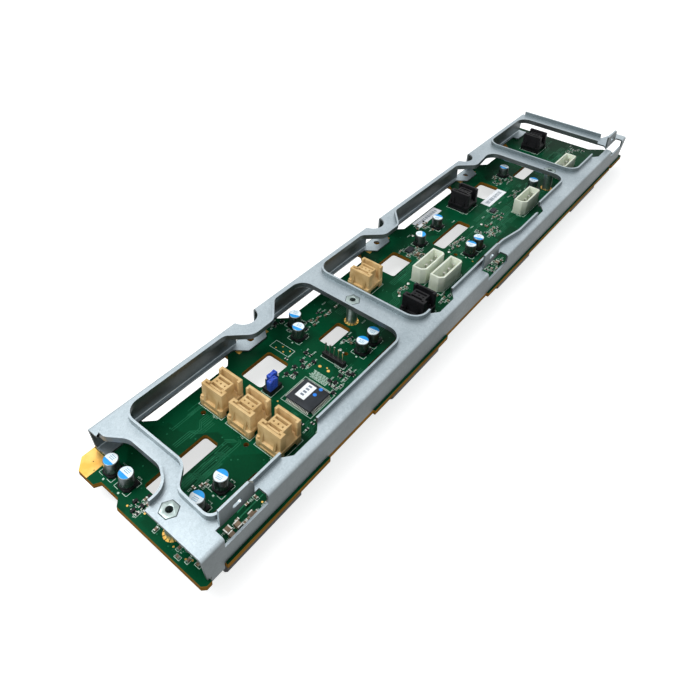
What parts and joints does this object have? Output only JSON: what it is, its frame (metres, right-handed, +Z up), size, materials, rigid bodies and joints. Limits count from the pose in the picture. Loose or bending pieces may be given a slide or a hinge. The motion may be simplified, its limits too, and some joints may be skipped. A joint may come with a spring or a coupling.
{
  "type": "drive backplane board",
  "caption": "Long circuit board with drive connectors below and cable connectors above, stiffened by a folded steel bracket with lipped windows.",
  "frame": {"origin": "middle of the footprint, at the lowest faces of the drive connectors", "axes": "+X along the board, +Y from the bracket's tabbed front wall to its notched back wall, +Z up to the cable side"},
  "size_m": [0.4188, 0.0768, 0.0338],
  "materials": {
    "black_plastic": "moulded, satin",
    "blue_plastic": "moulded, glossy",
    "board_laminate": "glass-fibre laminate under semi-gloss green solder mask",
    "capacitor_can": "drawn aluminium can with printed top",
    "chip_epoxy": "moulded epoxy, fine matt",
    "cream_plastic": "moulded high-temperature plastic, satin",
    "plated_hardware": "zinc-plated steel",
    "plated_pins": "tin-plated brass",
    "white_nylon": "moulded natural nylon, satin and slightly translucent",
    "zinc_coated_steel": "pre-galvanised sheet, dull with fine rolling marks"
  },
  "bodies": {
    "root": {"board_screws": "plated_hardware", "bracket": "zinc_coated_steel", "cable_connector_1": "cream_plastic", "cable_connector_2": "cream_plastic", "cable_connector_3": "cream_plastic", "cable_connector_4": "cream_plastic", "cable_connector_5": "black_plastic", "cable_connector_6": "black_plastic", "cable_connector_7": "black_plastic", "capacitor_1": "capacitor_can", "capacitor_10": "capacitor_can", "capacitor_11": "capacitor_can", "capacitor_12": "capacitor_can", "capacitor_13": "capacitor_can", "capacitor_14": "capacitor_can", "capacitor_2": "capacitor_can", "capacitor_3": "capacitor_can", "capacitor_4": "capacitor_can", "capacitor_5": "capacitor_can", "capacitor_6": "capacitor_can", "capacitor_7": "capacitor_can", "capacitor_8": "capacitor_can", "capacitor_9": "capacitor_can", "circuit_board": "board_laminate", "controller_chip": "chip_epoxy", "drive_connector_1_1": "black_plastic", "drive_connector_1_2": "black_plastic", "drive_connector_1_3": "black_plastic", "drive_connector_2_1": "black_plastic", "drive_connector_2_2": "black_plastic", "drive_connector_2_3": "black_plastic", "drive_connector_3_1": "black_plastic", "drive_connector_3_2": "black_plastic", "drive_connector_3_3": "black_plastic", "drive_connector_4_1": "black_plastic", "drive_connector_4_2": "black_plastic", "drive_connector_4_3": "black_plastic", "fan_header": "black_plastic", "fan_header_pins": "plated_pins", "hex_standoff": "plated_hardware", "jumper_cap_1": "blue_plastic", "jumper_cap_2": "blue_plastic", "jumper_header": "black_plastic", "jumper_pins": "plated_pins", "power_connector_1": "white_nylon", "power_connector_2": "white_nylon", "power_connector_3": "white_nylon", "power_connector_4": "white_nylon", "power_pins_1": "plated_pins", "power_pins_2": "plated_pins", "power_pins_3": "plated_pins", "power_pins_4": "plated_pins", "round_standoff_1": "plated_hardware", "round_standoff_2": "plated_hardware"}
  },
  "joints": []
}
